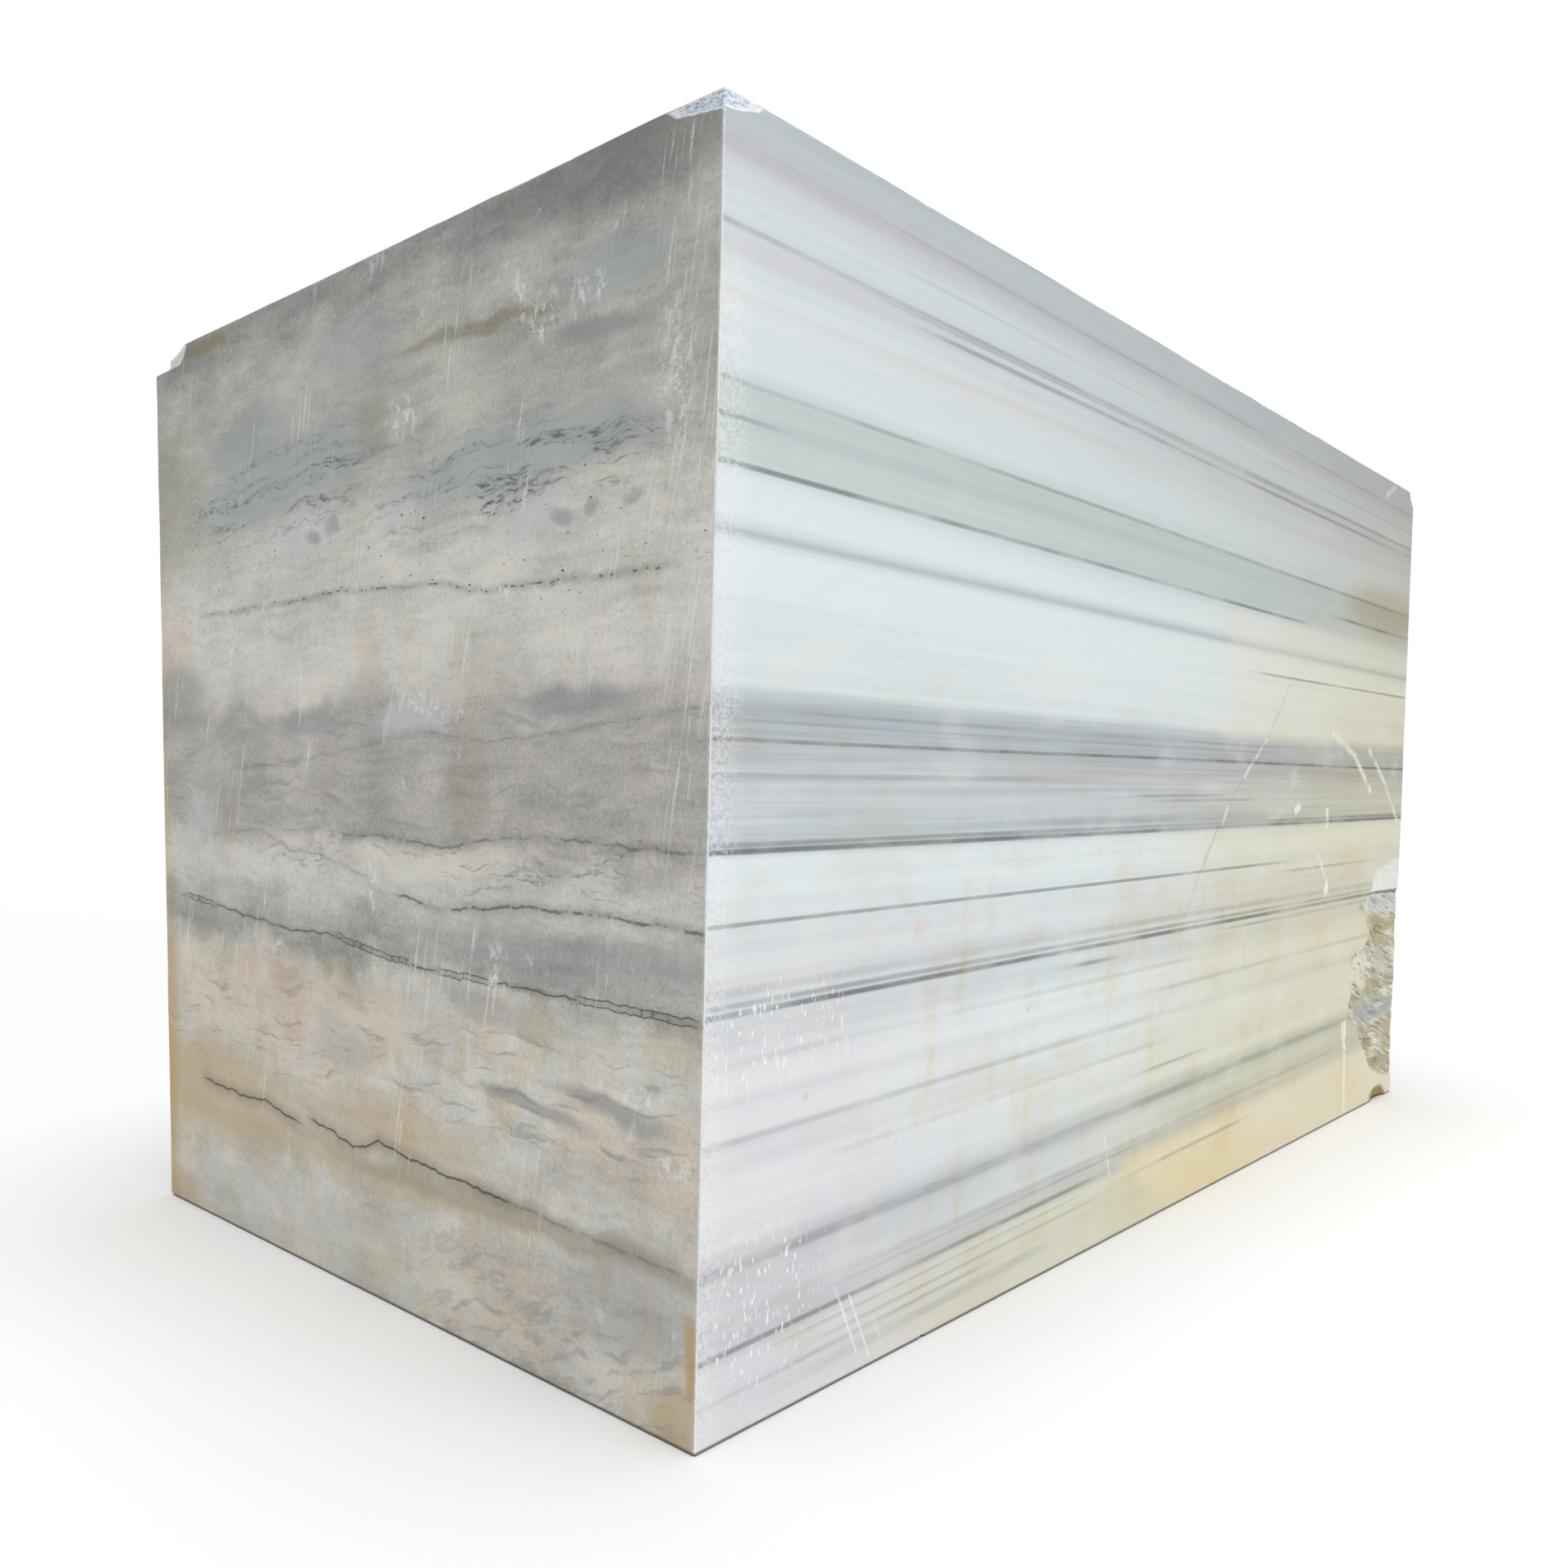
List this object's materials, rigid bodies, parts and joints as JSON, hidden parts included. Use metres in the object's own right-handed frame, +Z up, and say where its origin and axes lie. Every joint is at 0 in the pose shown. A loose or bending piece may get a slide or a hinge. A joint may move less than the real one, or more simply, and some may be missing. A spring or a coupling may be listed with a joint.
{
  "type": "marble block",
  "caption": "Sawn rectangular block of pale, grey-banded marble with chipped edges, spalled corners and a rough broken patch at the foot of its long face.",
  "frame": {"origin": "centre of the block's footprint box, on the flat underside that it rests on", "axes": "+X along the length, from the near end with the spalled top corner to the far end beside the broken patch; -Y out of the long face with the broken patch; +Z up, across the bedding bands"},
  "size_m": [2.508, 1.4816, 1.5513],
  "materials": {
    "banded_marble": "wire-sawn marble, matt to softly sheened: cool white to pale grey-green ground with thin dark grey bedding bands, cream and ochre staining low down, sugary white where it is broken"
  },
  "bodies": {
    "root": {"marble_block": "banded_marble"}
  },
  "joints": []
}
